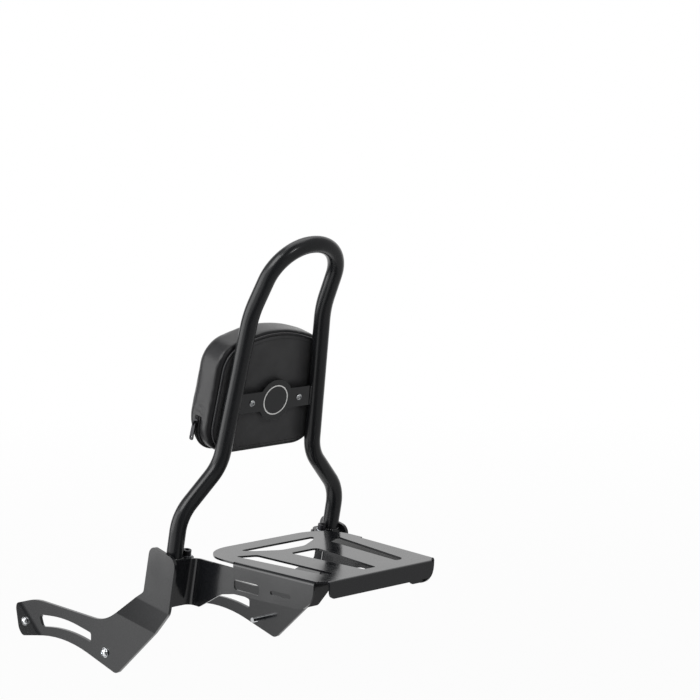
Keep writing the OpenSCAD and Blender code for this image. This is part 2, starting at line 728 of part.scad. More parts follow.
// Cross plate: a flat strap with a disc in its middle, between the legs
module cross_plate() color("#1c1d1f") at_foot() difference() {
    translate([0, plate_t / 2, 0]) rotate([90, 0, 0]) linear_extrude(plate_t) {
        translate([-leg_low_half_w, plate_z - plate_h / 2]) square([2 * leg_low_half_w, plate_h]);
        translate([0, plate_z]) circle(d = disc_d);
    }
    both_sides() run_along([leg_low_half_w, 0, bend_mid_h], [leg_high_half_w, 0, kick_h], tube_d + 2 * seat_gap, 0);
    both_sides() run_along([leg_low_half_w + 8, 0, bend_mid_h], [leg_high_half_w + 8, 0, kick_h], tube_d, 0);
    pad_bolt_places() translate([0, 0, -10]) cylinder(d = m6_d + bolt_clear, h = 20);
}
// Frame at each pad bolt, inside at_foot(), with +Z forward through the plate into the pad
module pad_bolt_places() for (side = [-1, 1])
    translate([side * pad_bolt_pitch / 2, 0, plate_z]) rotate([-90, 0, 0]) children();
module pad_bolts() color("#d9dbde") at_foot() pad_bolt_places() {
    translate([0, 0, -plate_t / 2 - seat_gap]) {
        cylinder(d = m6_d, h = foam_n + plate_t / 2 + 2);
        button_head(m6_head_d, m6_head_h, m6_d);
    }
}
module pad_spacers() color("#b9bcc0") at_foot() pad_bolt_places()
    translate([0, 0, plate_t / 2 + seat_gap]) difference() {
        cylinder(d = 14, h = pad_back_n - plate_t / 2 - 2 * seat_gap);
        translate([0, 0, -1]) cylinder(d = m6_d + bolt_clear, h = 40);
    }
insert_d = 8;
insert_flange_d = 19;
module pad_inserts() color("#b9bcc0") at_foot() pad_bolt_places() difference() {
    union() {
        translate([0, 0, board_n]) cylinder(d = insert_d, h = board_t + 1);
        translate([0, 0, foam_n]) cylinder(d = insert_flange_d, h = 1.2);
    }
    cylinder(d = m6_d + 0.1, h = 60);
}

// Pad: outlines in the hoop's own frame, spread sideways, upwards and downwards
function pad_corners(out, up, down) = [
    [-panel_half_low - out, pad_low - down],
    [panel_half_low + out, pad_low - down],
    [panel_half_high + out, pad_shoulder + up],
    [0, pad_shoulder + pad_arch + up],
    [-panel_half_high - out, pad_shoulder + up]
];
function pad_radii(out) =
    let (low = max(6, min(40, 40 + out)), high = max(6, 40 + 0.6 * out))
    [low, low, high, pad_arch_r + 2 * out, high];
function pad_outline(out, up, down) = round_outline(pad_corners(out, up, down), pad_radii(out), 9);
module pad_slab(n0, t) translate([0, n0 + t, 0]) rotate([90, 0, 0]) linear_extrude(t) children();

// Levels of the cushion's skin: depth from the panel's rear face, then the spread of the outline
rim_out = piping_d + seat_gap;
rim_n = piping_d + seat_gap;
bulge_n = 6;
front_r = 20;
front_side_r = 26;
flat_end = pad_depth - front_r;
function skin_low(n) =
    n < rim_n + bulge_n ? rim_out - (rim_out - 3) * n / (rim_n + bulge_n)
    : n < zip_depth + zip_w / 2 + 0.5 ? 3
    : 3 - (pad_under_rise + 3) * (n - zip_depth - zip_w / 2) / (pad_depth - zip_depth - zip_w / 2);
function skin_up(out) = rim_out + (pad_swell_top - rim_out) * min(1, (out - rim_out) / (pad_swell - rim_out));
function rear_levels(inset) = [for (k = [0 : 6])
    let (
        w = 15 * k,
        n = rim_n + bulge_n - (bulge_n - inset) * cos(w),
        out = rim_out + (pad_swell - rim_out - inset) * sin(w)
    )
    [n, out, skin_up(out + inset) - inset, skin_low(n) - inset]];
function front_levels(inset) = [for (k = [0 : 6])
    let (
        w = 15 * k,
        n = flat_end + (front_r - inset) * sin(w),
        out = pad_swell - front_side_r + (front_side_r - inset) * cos(w),
        lost = pad_swell - inset - out
    )
    [n, out, pad_swell_top - inset - lost, skin_low(n) - inset - lost]];
function band_levels(inset) = [
    [zip_depth + zip_w / 2 + 0.5, pad_swell - inset, pad_swell_top - inset, 3 - inset]
];
function skin_rings(levels) = [for (v = levels)
    [for (p = pad_outline(v[1], v[2], v[3])) [p[0], pad_back_n + v[0], p[1]]]];
function crown_rings(inset) =
    let (
        v = front_levels(inset)[6],
        ring = pad_outline(v[1], v[2], v[3]),
        mid = [0, (pad_low + pad_shoulder + pad_arch) / 2]
    )
    [for (k = [1 : 6])
        let (s = 1 - k / 6.5)
        [for (p = ring)
            let (q = mid + (p - mid) * s)
            [q[0], pad_back_n + v[0] + pad_crown * (1 - s * s), q[1]]]];
module loft(rings) {
    n = len(rings[0]);
    m = len(rings);
    polyhedron(
        points = [for (ring = rings) each ring],
        faces = concat(
            [[for (j = [n - 1 : -1 : 0]) j]],
            [for (i = [0 : m - 2], j = [0 : n - 1])
                [i * n + j, i * n + (j + 1) % n, (i + 1) * n + (j + 1) % n]],
            [for (i = [0 : m - 2], j = [0 : n - 1])
                [i * n + j, (i + 1) * n + (j + 1) % n, (i + 1) * n + j]],
            [[for (j = [0 : n - 1]) (m - 1) * n + j]]));
}
function backwards(list) = [for (i = [len(list) - 1 : -1 : 0]) list[i]];
module pad_cover() color("#2b2b2d") at_foot() loft(concat(
    backwards(concat(
        skin_rings([[rim_n + cover_t, 1, 1, 1]]),
        skin_rings(rear_levels(cover_t)), skin_rings(band_levels(cover_t)),
        skin_rings(front_levels(cover_t)), crown_rings(cover_t))),
    skin_rings([[rim_n, 1, 1, 1]]),
    skin_rings(rear_levels(0)), skin_rings(band_levels(0)),
    skin_rings(front_levels(0)), crown_rings(0)));
foam_in = cover_t + seat_gap;
foam_start = foam_n - pad_back_n;
module pad_foam() color("#d8d2b4") at_foot() difference() {
    loft(concat(
        skin_rings([
            [foam_start, pad_swell - foam_in - 0.3, pad_swell_top - foam_in - 0.3, 2.7 - foam_in],
            [rim_n + bulge_n + 1, pad_swell - foam_in, pad_swell_top - foam_in, 3 - foam_in]
        ]),
        skin_rings(band_levels(foam_in)), skin_rings(front_levels(foam_in)), crown_rings(foam_in)));
    pad_bolt_places() cylinder(d = insert_flange_d + 1, h = foam_n + 6);
}
module pad_board() color("#a58758") at_foot() difference() {
    pad_slab(board_n, board_t) polygon(pad_outline(-0.5, -0.5, -0.5));
    pad_bolt_places() cylinder(d = insert_d + 0.2, h = 60);
}
module pad_back_panel() color("#2b2b2d") at_foot() difference() {
    pad_slab(pad_back_n, cover_t) polygon(pad_outline(0, 0, 0));
    pad_bolt_places() cylinder(d = m6_d + bolt_clear, h = 60);
}
module pad_piping() color("#2b2b2d") at_foot() {
    out = piping_d / 2 + seat_gap;
    bent_ring(
        [for (p = pad_corners(out, out, out)) [p[0], pad_back_n + piping_d / 2, p[1]]],
        [for (r = pad_radii(0)) r + out], piping_d);
}

// Zip around the foot of the cushion: a tape with its coil, a slider and a pull that swings on it
tape_t = 0.9;
coil_w = 4.5;
coil_t = 1.2;
module zip_band(width, gap, t) pad_slab(pad_back_n + zip_depth - width / 2, width) difference() {
    polygon(pad_outline(pad_swell + gap + t, pad_swell_top, 3 + gap + t));
    polygon(pad_outline(pad_swell + gap, pad_swell_top, 3 + gap));
    translate([-300, pad_low + zip_rise]) square([600, 400]);
}
module zip_tape() color("#1a1a1c") at_foot() {
    zip_band(zip_w, seat_gap, tape_t);
    zip_band(coil_w, seat_gap + tape_t / 2, tape_t / 2 + coil_t);
}
// Frame at the slider on the left-hand side, with +X outwards, +Y up the zip and +Z forwards
side_slope = atan((panel_half_low - panel_half_high) / (pad_shoulder - pad_low));
slider_h = pad_low + zip_rise - 10;
slider_x = panel_half_low + pad_swell - (slider_h - pad_low + 3) * tan(side_slope);
module at_slider() at_foot() translate([-slider_x, pad_back_n + zip_depth, slider_h]) rotate([0, side_slope, 0])
    multmatrix([[-1, 0, 0, 0], [0, 0, 1, 0], [0, 1, 0, 0]]) children();
slider_base = seat_gap + tape_t + coil_t + 0.3;
slider_t = 1.6;
eye_out = slider_base + slider_t + 1.7;
pin_d = 2;
eye_d = 2.8;
module zip_slider() color("#8d9094") at_slider() {
    difference() {
        translate([slider_base, -6, -4.5]) cube([slider_t, 12, 9]);
        for (z = [-1, 1]) translate([slider_base - 1, 8.5, z * 8.5]) rotate([0, 90, 0]) cylinder(d = 11, h = 5);
    }
    difference() {
        union() {
            translate([eye_out, 0, -0.8]) cylinder(d = eye_d + 3, h = 1.6);
            translate([slider_base + slider_t / 2, -eye_d / 2 - 1.4, -0.8])
                cube([eye_out - slider_base - slider_t / 2, eye_d + 2.8, 1.6]);
        }
        translate([eye_out, 0, -2]) cylinder(d = eye_d, h = 4);
    }
}
module zip_pull() color("#8d9094") at_slider() translate([eye_out, 0, 0]) {
    pull_w = 7;
    slot_w = 2.8;
    translate([0, 0, -pull_w / 2 + 0.3]) cylinder(d = pin_d, h = pull_w - 0.6);
    difference() {
        translate([-0.8, 0, 0]) rotate([90, 0, 90]) linear_extrude(1.6) mirror([1, 0])
            polygon(round_outline(
                [[0, -pull_w / 2], [pull_len, -pull_w / 2 - 0.6], [pull_len, pull_w / 2 + 0.6], [0, pull_w / 2]],
                [0.8, 3, 3, 0.8]));
        translate([-2, -4.4, -slot_w / 2]) cube([4, 6, slot_w]);
        translate([-2, -pull_len + 5, 0]) rotate([0, 90, 0]) cylinder(d = 3, h = 4);
    }
}

hoop();
foot_plates();
foot_seats();
foot_bolts();
foot_washers();
foot_nuts();
side_plate_left();
side_plate_right();
mount_bolts();
mount_washers();
rack();
cross_brace();
cross_plate();
pad_cover();
pad_back_panel();
pad_piping();
pad_foam();
pad_board();
pad_inserts();
pad_spacers();
pad_bolts();
zip_tape();
zip_slider();
zip_pull();
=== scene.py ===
import math

import bmesh
import bpy
from mathutils import Matrix, Vector, noise
from mathutils.bvhtree import BVHTree


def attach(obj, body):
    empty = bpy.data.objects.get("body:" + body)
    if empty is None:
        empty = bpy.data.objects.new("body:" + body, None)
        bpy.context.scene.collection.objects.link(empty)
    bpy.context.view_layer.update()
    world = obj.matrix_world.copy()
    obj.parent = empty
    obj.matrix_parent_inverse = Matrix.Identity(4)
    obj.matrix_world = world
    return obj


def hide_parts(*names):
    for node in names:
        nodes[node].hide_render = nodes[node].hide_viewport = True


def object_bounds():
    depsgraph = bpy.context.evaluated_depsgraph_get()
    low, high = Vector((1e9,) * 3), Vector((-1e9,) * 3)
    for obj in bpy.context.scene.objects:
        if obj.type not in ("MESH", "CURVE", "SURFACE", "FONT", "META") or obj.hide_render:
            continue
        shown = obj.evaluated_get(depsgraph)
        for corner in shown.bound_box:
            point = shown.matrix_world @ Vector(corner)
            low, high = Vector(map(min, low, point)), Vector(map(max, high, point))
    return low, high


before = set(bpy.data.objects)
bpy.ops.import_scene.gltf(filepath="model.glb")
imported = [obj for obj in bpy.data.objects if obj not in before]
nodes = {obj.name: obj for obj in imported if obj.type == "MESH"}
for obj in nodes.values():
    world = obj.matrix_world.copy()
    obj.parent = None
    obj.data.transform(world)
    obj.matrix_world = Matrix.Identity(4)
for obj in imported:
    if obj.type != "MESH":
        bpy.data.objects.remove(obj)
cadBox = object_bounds()
print("frame loaded:", len(nodes), "nodes")


# small tools

def toLinear(hexColour):
    # sRGB hex to the linear colour that the shaders take
    out = []
    for i in (1, 3, 5):
        c = int(hexColour[i:i + 2], 16) / 255
        out.append(c / 12.92 if c <= 0.04045 else ((c + 0.055) / 1.055) ** 2.4)
    return (*out, 1.0)


def addNode(tree, kind, settings=None, links=None):
    # one node: settings go to its sockets by name or number, or else to its properties
    node = tree.nodes.new(kind)
    for key, value in (settings or {}).items():
        if isinstance(key, int) or key in node.inputs:
            node.inputs[key].default_value = value
        else:
            setattr(node, key, value)
    for key, socket in (links or {}).items():
        tree.links.new(socket, node.inputs[key])
    return node


def perMetre(millimetres):
    # scale of a pattern whose cell is this wide
    return 1000.0 / millimetres


def newFinish(name, **sockets):
    material = bpy.data.materials.new(name)
    material.use_nodes = True
    tree = material.node_tree
    shader = tree.nodes["Principled BSDF"]
    for key, value in sockets.items():
        shader.inputs[key.replace("_", " ")].default_value = value
    place = addNode(tree, "ShaderNodeTexCoord")
    return material, tree, shader, place.outputs["Object"]


def setRamp(ramp, stops):
    # stops are (place, colour), the first and last use the ramp's own two
    elements = ramp.color_ramp.elements
    while len(elements) < len(stops):
        elements.new(0.5)
    for element, (where, colour) in zip(elements, stops):
        element.position = where
        element.color = colour


def grey(value):
    return (value, value, value, 1.0)


# place of the backrest, as the frame has it
hoop = {
    "footForward": 0.104,
    "footUp": -0.0115,
    "lean": 12.0,            # degrees to the rear
    "tubeRadius": 0.0125,
    "footHalfWidth": 0.154,
    "legLow": (0.0895, 0.1425),
    "legHigh": (0.070, 0.376),
    "plateHeight": 0.236,
    "plateThickness": 0.004,
    "boltHalf": 0.046,
}
leanSin = math.sin(math.radians(hoop["lean"]))
leanCos = math.cos(math.radians(hoop["lean"]))


def onHoop(x, forward, up):
    # a point of the leaning hoop's own frame, in the part's frame
    return Vector((
        x,
        hoop["footForward"] + forward * leanCos - up * leanSin,
        hoop["footUp"] + forward * leanSin + up * leanCos,
    ))


def legX(up):
    (x0, h0), (x1, h1) = hoop["legLow"], hoop["legHigh"]
    return x0 + (x1 - x0) * (up - h0) / (h1 - h0)


def meshObject(name, vertices, faces, material, smooth=True):
    mesh = bpy.data.meshes.new(name)
    mesh.from_pydata([tuple(v) for v in vertices], [], faces)
    mesh.validate()
    mesh.update()
    for polygon in mesh.polygons:
        polygon.use_smooth = smooth
    piece = bpy.data.objects.new(name, mesh)
    bpy.context.scene.collection.objects.link(piece)
    if material:
        mesh.materials.append(material)
    return piece


def applyModifiers(piece):
    bpy.context.view_layer.update()
    depsgraph = bpy.context.evaluated_depsgraph_get()
    mesh = bpy.data.meshes.new_from_object(piece.evaluated_get(depsgraph), depsgraph=depsgraph)
    old = piece.data
    piece.modifiers.clear()
    piece.data = mesh
    bpy.data.meshes.remove(old)


# finishes

def makeBlackPowder(name, roughness, ior):
    # semi-gloss black powder coat on steel, sprayed and baked: near-black, an even satin skin with a faint
    # orange peel, and the bright surroundings lie on it as a soft haze
    coat = {"colour": "#17181a", "roughness": roughness, "ior": ior, "peelMm": 1.6, "peelDepthMm": 0.006}
    material, tree, shader, place = newFinish(name, Base_Color=toLinear(coat["colour"]), IOR=coat["ior"])
    peel = addNode(tree, "ShaderNodeTexNoise", {"Scale": perMetre(coat["peelMm"]), "Detail": 1.5},
                   {"Vector": place})
    cloud = addNode(tree, "ShaderNodeTexNoise", {"Scale": perMetre(45), "Detail": 2.0}, {"Vector": place})
    ramp = addNode(tree, "ShaderNodeValToRGB", links={"Fac": cloud.outputs["Fac"]})
    setRamp(ramp, [(0.3, grey(coat["roughness"] - 0.03)), (0.7, grey(coat["roughness"] + 0.03))])
    tree.links.new(ramp.outputs["Color"], shader.inputs["Roughness"])
    bump = addNode(tree, "ShaderNodeBump", {"Strength": 0.3, "Distance": coat["peelDepthMm"] / 1000},
                   {"Height": peel.outputs["Fac"]})
    tree.links.new(bump.outputs["Normal"], shader.inputs["Normal"])
    return material


def makeChrome(name):
    # bright chrome plate over polished steel: a mirror with the faintest haze
    plate = {"colour": "#d6d8da", "roughness": 0.07}
    material, tree, shader, place = newFinish(name, Base_Color=toLinear(plate["colour"]), Metallic=1.0)
    haze = addNode(tree, "ShaderNodeTexNoise", {"Scale": perMetre(6), "Detail": 3.0}, {"Vector": place})
    ramp = addNode(tree, "ShaderNodeValToRGB", links={"Fac": haze.outputs["Fac"]})
    setRamp(ramp, [(0.35, grey(plate["roughness"])), (0.8, grey(plate["roughness"] + 0.08))])
    tree.links.new(ramp.outputs["Color"], shader.inputs["Roughness"])
    return material


def makeZinc(name, colour, roughness):
    # zinc plate, barrel-plated: a grey metal with a slightly uneven, fine-grained gloss
    material, tree, shader, place = newFinish(name, Base_Color=toLinear(colour), Metallic=1.0)
    grain = addNode(tree, "ShaderNodeTexNoise", {"Scale": perMetre(1.2), "Detail": 3.0}, {"Vector": place})
    ramp = addNode(tree, "ShaderNodeValToRGB", links={"Fac": grain.outputs["Fac"]})
    setRamp(ramp, [(0.3, grey(roughness - 0.06)), (0.75, grey(roughness + 0.1))])
    tree.links.new(ramp.outputs["Color"], shader.inputs["Roughness"])
    bump = addNode(tree, "ShaderNodeBump", {"Strength": 0.2, "Distance": 0.00002},
                   {"Height": grain.outputs["Fac"]})
    tree.links.new(bump.outputs["Normal"], shader.inputs["Normal"])
    return material


def makeLeather(name, colour, roughness, grainMm, depthMm):
    # PVC upholstery leather, embossed and lacquered: black pebbles with fine valleys between, and a soft wide
    # sheen that turns bright where it is seen at a flat angle
    material, tree, shader, place = newFinish(
        name, Base_Color=toLinear(colour), IOR=1.36, Roughness=roughness, Coat_Weight=0.22,
        Coat_Roughness=0.22, Sheen_Weight=0.12, Sheen_Roughness=0.30)
    warp = addNode(tree, "ShaderNodeTexNoise", {"Scale": perMetre(grainMm * 3), "Detail": 2.0},
                   {"Vector": place})
    mixed = addNode(tree, "ShaderNodeVectorMath", {"operation": "MULTIPLY_ADD", 1: (grainMm / 1500,) * 3},
                    {0: warp.outputs["Color"], 2: place})
    cells = addNode(tree, "ShaderNodeTexVoronoi", {"feature": "DISTANCE_TO_EDGE", "Scale": perMetre(grainMm)},
                    {"Vector": mixed.outputs["Vector"]})
    valley = addNode(tree, "ShaderNodeValToRGB", links={"Fac": cells.outputs["Distance"]})
    setRamp(valley, [(0.0, grey(0.0)), (0.22, grey(1.0))])
    soft = addNode(tree, "ShaderNodeTexNoise", {"Scale": perMetre(30), "Detail": 3.0}, {"Vector": place})
    shade = addNode(tree, "ShaderNodeValToRGB", links={"Fac": soft.outputs["Fac"]})
    base = toLinear(colour)
    setRamp(shade, [(0.3, (base[0] * 0.85, base[1] * 0.85, base[2] * 0.85, 1)),
                    (0.7, (base[0] * 1.15, base[1] * 1.15, base[2] * 1.15, 1))])
    tree.links.new(shade.outputs["Color"], shader.inputs["Base Color"])
    bump = addNode(tree, "ShaderNodeBump", {"Strength": 0.5, "Distance": depthMm / 1000},
                   {"Height": valley.outputs["Color"]})
    tree.links.new(bump.outputs["Normal"], shader.inputs["Normal"])
    return material


def makeWoven(name, colour, threadMm):
    # woven polyester tape: black, dull, with a fine over-and-under of threads
    material, tree, shader, place = newFinish(name, Base_Color=toLinear(colour), Roughness=0.85)
    across = addNode(tree, "ShaderNodeTexWave", {"wave_type": "BANDS", "bands_direction": "X",
                                                 "Scale": perMetre(threadMm) / 6.283}, {"Vector": place})
    along = addNode(tree, "ShaderNodeTexWave", {"wave_type": "BANDS", "bands_direction": "Z",
                                                "Scale": perMetre(threadMm) / 6.283}, {"Vector": place})
    both = addNode(tree, "ShaderNodeMath", {"operation": "MULTIPLY"},
                   {0: across.outputs["Fac"], 1: along.outputs["Fac"]})
    shade = addNode(tree, "ShaderNodeValToRGB", links={"Fac": both.outputs["Value"]})
    base = toLinear(colour)
    setRamp(shade, [(0.0, (base[0] * 0.5, base[1] * 0.5, base[2] * 0.5, 1)), (0.8, base)])
    tree.links.new(shade.outputs["Color"], shader.inputs["Base Color"])
    bump = addNode(tree, "ShaderNodeBump", {"Strength": 0.5, "Distance": 0.0002},
                   {"Height": both.outputs["Value"]})
    tree.links.new(bump.outputs["Normal"], shader.inputs["Normal"])
    return material


def makeFoam(name):
    # open-cell polyurethane foam: dull cream, with pores a millimetre wide
    foam = {"colour": "#d9cfa8", "poreMm": 1.2}
    material, tree, shader, place = newFinish(name, Base_Color=toLinear(foam["colour"]), Roughness=0.95)
    pores = addNode(tree, "ShaderNodeTexVoronoi", {"Scale": perMetre(foam["poreMm"])}, {"Vector": place})
    shade = addNode(tree, "ShaderNodeValToRGB", links={"Fac": pores.outputs["Distance"]})
    setRamp(shade, [(0.0, toLinear("#b3a678")), (0.5, toLinear(foam["colour"]))])
    tree.links.new(shade.outputs["Color"], shader.inputs["Base Color"])
    bump = addNode(tree, "ShaderNodeBump", {"Strength": 0.8, "Distance": 0.0005},
                   {"Height": pores.outputs["Distance"]})
    tree.links.new(bump.outputs["Normal"], shader.inputs["Normal"])
    return material


def makePlywood(name):
    # raw birch plywood: pale brown with long rings, sawn edges
    wood = {"colour": "#b08a5a", "ringMm": 9}
    material, tree, shader, place = newFinish(name, Base_Color=toLinear(wood["colour"]), Roughness=0.7)
    stretch = addNode(tree, "ShaderNodeMapping", {"Scale": (0.15, 1.0, 1.0)}, {"Vector": place})
    rings = addNode(tree, "ShaderNodeTexNoise",
                    {"Scale": perMetre(wood["ringMm"]), "Detail": 4.0, "Distortion": 0.6},
                    {"Vector": stretch.outputs["Vector"]})
    shade = addNode(tree, "ShaderNodeValToRGB", links={"Fac": rings.outputs["Fac"]})
    setRamp(shade, [(0.3, toLinear("#9a7443")), (0.7, toLinear("#c39c6b"))])
    tree.links.new(shade.outputs["Color"], shader.inputs["Base Color"])
    return material


def makeRingPaint(name):
    # pad-printed enamel: flat off-white with a trace of gloss
    material, tree, shader, place = newFinish(name, Base_Color=toLinear("#e6e6e4"), Roughness=0.4)
    speck = addNode(tree, "ShaderNodeTexNoise", {"Scale": perMetre(2), "Detail": 2.0}, {"Vector": place})
    shade = addNode(tree, "ShaderNodeValToRGB", links={"Fac": speck.outputs["Fac"]})
    setRamp(shade, [(0.3, toLinear("#dadad8")), (0.7, toLinear("#efefed"))])
    tree.links.new(shade.outputs["Color"], shader.inputs["Base Color"])
    return material


blackPowder = makeBlackPowder("semi_gloss_black_powder_coat", 0.15, 1.60)
satinPowder = makeBlackPowder("satin_black_powder_coat", 0.25, 1.44)  # the hoop is duller than the sheets
chrome = makeChrome("bright_chrome_plate")
zinc = makeZinc("bright_zinc_plate", "#b4b7bb", 0.32)
blackZinc = makeZinc("black_zinc_plate", "#3a3a3d", 0.38)
gunmetal = makeZinc("gunmetal_plated_zinc_casting", "#363638", 0.30)
# the cover's real grain is near 1 mm, and is drawn coarser to show
coverLeather = makeLeather("black_pvc_upholstery_leather", "#1c1c1e", 0.38, 2.8, 0.14)
backLeather = makeLeather("black_pvc_back_cloth", "#39393a", 0.5, 1.8, 0.08)
pipingLeather = makeLeather("black_vinyl_piping", "#29292b", 0.4, 1.4, 0.05)
tapeWeave = makeWoven("black_woven_zip_tape", "#1c1c1e", 1.2)  # real threads are finer, too fine to show
foam = makeFoam("cream_open_cell_foam")
plywood = makePlywood("raw_birch_plywood")
ringPaint = makeRingPaint("white_printed_enamel")

nodeFinish = {
    "hoop": satinPowder, "foot_plates": blackPowder, "foot_seats": blackPowder, "cross_plate": blackPowder,
    "side_plate_left": blackPowder, "side_plate_right": blackPowder, "rack": blackPowder,
    "cross_brace": blackPowder, "foot_bolts": blackZinc, "foot_washers": zinc, "foot_nuts": zinc,
    "mount_bolts": chrome, "mount_washers": chrome, "pad_bolts": chrome, "pad_spacers": zinc,
    "pad_inserts": zinc, "pad_cover": coverLeather, "pad_back_panel": backLeather,
    "pad_piping": pipingLeather, "pad_foam": foam, "pad_board": plywood, "zip_tape": tapeWeave,
    "zip_slider": gunmetal, "zip_pull": gunmetal,
}
for nodeName, finish in nodeFinish.items():
    for slot in nodes[nodeName].material_slots:
        slot.material = finish
print("finishes made")


# the steel pieces get broken edges, as deburring and the coat leave them
edges = {
    "hoop": (0.0, 0), "rack": (0.0006, 2), "side_plate_left": (0.0007, 2), "side_plate_right": (0.0007, 2),
    "cross_plate": (0.0006, 2), "cross_brace": (0.0005, 2), "foot_plates": (0.0006, 2),
    "foot_seats": (0.0005, 2),
    "mount_bolts": (0.0003, 2), "pad_bolts": (0.0002, 2), "foot_bolts": (0.0003, 2), "foot_nuts": (0.0003, 2),
    "foot_washers": (0.0002, 1), "mount_washers": (0.0002, 1), "pad_spacers": (0.0002, 1),
    "zip_slider": (0.0003, 2), "zip_pull": (0.0003, 2), "zip_tape": (0.0002, 1),
    "pad_piping": (0.0, 0), "pad_board": (0.0004, 1), "pad_inserts": (0.0002, 1),
}
edgeRules = {"weld": 0.000012, "flatDegrees": 0.6, "sharpDegrees": 32}
for nodeName, (width, segments) in edges.items():
    piece = nodes[nodeName]
    for polygon in piece.data.polygons:
        polygon.use_smooth = True
    weld = piece.modifiers.new("weld", "WELD")
    weld.merge_threshold = edgeRules["weld"]
    if not width:
        split = piece.modifiers.new("split", "EDGE_SPLIT")
        split.split_angle = math.radians(edgeRules["sharpDegrees"])
        continue
    flat = piece.modifiers.new("flat", "DECIMATE")
    flat.decimate_type = "DISSOLVE"
    flat.angle_limit = math.radians(edgeRules["flatDegrees"])
    bevel = piece.modifiers.new("edge", "BEVEL")
    bevel.width = width
    bevel.segments = segments
    bevel.limit_method = "ANGLE"
    bevel.angle_limit = math.radians(edgeRules["sharpDegrees"])
    even = piece.modifiers.new("even", "WEIGHTED_NORMAL")
    even.mode = "FACE_AREA"
    even.weight = 100
print("edges broken")


# the cushion: outlines in the hoop's frame, spread out, up and down, as levels from back to front
pad = {
    "halfLow": 0.1015, "halfHigh": 0.091, "low": 0.158, "shoulder": 0.311, "arch": 0.030, "archRadius": 0.170,
    "backForward": 0.0128, "swell": 0.0115, "swellTop": 0.007, "depth": 0.060, "crown": 0.005,
    "underRise": 0.018, "cord": 0.004, "zipRise": 0.050, "zipWidth": 0.013, "zipDepth": 0.028,
    "voxel": 0.0040,         # cloth grid
    "pressure": 4.0,
    "swellCap": 0.0022,      # furthest that the air pressure may move the cover
    "coverThickness": 0.0012,
}
rimOut = pad["cord"] + 0.0001
bulge = 0.006
frontRound = 0.020
sideRound = 0.026
flatEnd = pad["depth"] - frontRound
zipMiddle = pad["zipDepth"]


def roundCorners(points, radii, steps):
    out = []
    count = len(points)
    for i, point in enumerate(points):
        p = Vector(point)
        a = (Vector(points[i - 1]) - p).normalized()
        b = (Vector(points[(i + 1) % count]) - p).normalized()
        opening = math.acos(max(-1, min(1, a.dot(b))))
        r = radii[i]
        centre = p + (a + b).normalized() * (r / math.sin(opening / 2))
        start = p + a * (r / math.tan(opening / 2)) - centre
        side = 1 if a.x * b.y - a.y * b.x > 0 else -1
        for k in range(steps + 1):
            w = -(math.pi - opening) * side * k / steps
            out.append(centre + Vector((start.x * math.cos(w) - start.y * math.sin(w),
                                        start.x * math.sin(w) + start.y * math.cos(w))))
    return out


def padOutline(out, up, down, steps=9):
    low = max(0.006, min(0.040, 0.040 + out))
    high = max(0.006, 0.040 + 0.6 * out)
    corners = [
        (-pad["halfLow"] - out, pad["low"] - down), (pad["halfLow"] + out, pad["low"] - down),
        (pad["halfHigh"] + out, pad["shoulder"] + up), (0, pad["shoulder"] + pad["arch"] + up),
        (-pad["halfHigh"] - out, pad["shoulder"] + up),
    ]
    return roundCorners(corners, [low, low, high, pad["archRadius"] + 2 * out, high], steps)


def padUnder(depth):
    # how far the cushion's underside hangs below the panel's edge
    if depth < rimOut + bulge:
        return rimOut - (rimOut - 0.003) * depth / (rimOut + bulge)
    zipFront = zipMiddle + pad["zipWidth"] / 2
    if depth < zipFront + 0.0005:
        return 0.003
    return 0.003 - (pad["underRise"] + 0.003) * (depth - zipFront) / (pad["depth"] - zipFront)


def coverRings():
    rings = []

    def level(depth, out, up, down):
        rings.append([(p.x, pad["backForward"] + depth, p.y) for p in padOutline(out, up, down)])

    level(rimOut, 0.001, 0.001, 0.001)
    for k in range(7):
        w = math.radians(15 * k)
        depth = rimOut + bulge - bulge * math.cos(w)
        out = rimOut + (pad["swell"] - rimOut) * math.sin(w)
        up = rimOut + (pad["swellTop"] - rimOut) * min(1, (out - rimOut) / (pad["swell"] - rimOut))
        level(depth, out, up, padUnder(depth))
    level(zipMiddle + pad["zipWidth"] / 2 + 0.0005, pad["swell"], pad["swellTop"], 0.003)
    for k in range(7):
        w = math.radians(15 * k)
        depth = flatEnd + frontRound * math.sin(w)
        out = pad["swell"] - sideRound + sideRound * math.cos(w)
        lost = pad["swell"] - out
        level(depth, out, pad["swellTop"] - lost, padUnder(depth) - lost)
    edge = rings[-1]
    middle = (pad["low"] + pad["shoulder"] + pad["arch"]) / 2
    for k in range(1, 7):
        s = 1 - k / 6.5
        rings.append([(x * s, y + pad["crown"] * (1 - s * s), middle + (z - middle) * s) for x, y, z in edge])
    return rings


def loft(rings):
    count = len(rings[0])
    vertices = [onHoop(*p) for ring in rings for p in ring]
    faces = [list(range(count))[::-1]]
    for i in range(len(rings) - 1):
        for j in range(count):
            k = (j + 1) % count
            faces.append([i * count + j, i * count + k, (i + 1) * count + k, (i + 1) * count + j])
    faces.append([(len(rings) - 1) * count + j for j in range(count)])
    faces = [f[::-1] for f in faces]
    return vertices, faces


def hoopCoordinates(point):
    # (x, forward, up) in the hoop's frame
    y = point.y - hoop["footForward"]
    z = point.z - hoop["footUp"]
    return point.x, y * leanCos + z * leanSin, -y * leanSin + z * leanCos


def inOutline(x, up, outline):
    inside = False
    count = len(outline)
    for i in range(count):
        a, b = outline[i], outline[(i + 1) % count]
        if (a.y > up) != (b.y > up) and x < (b.x - a.x) * (up - a.y) / (b.y - a.y) + a.x:
            inside = not inside
    return inside


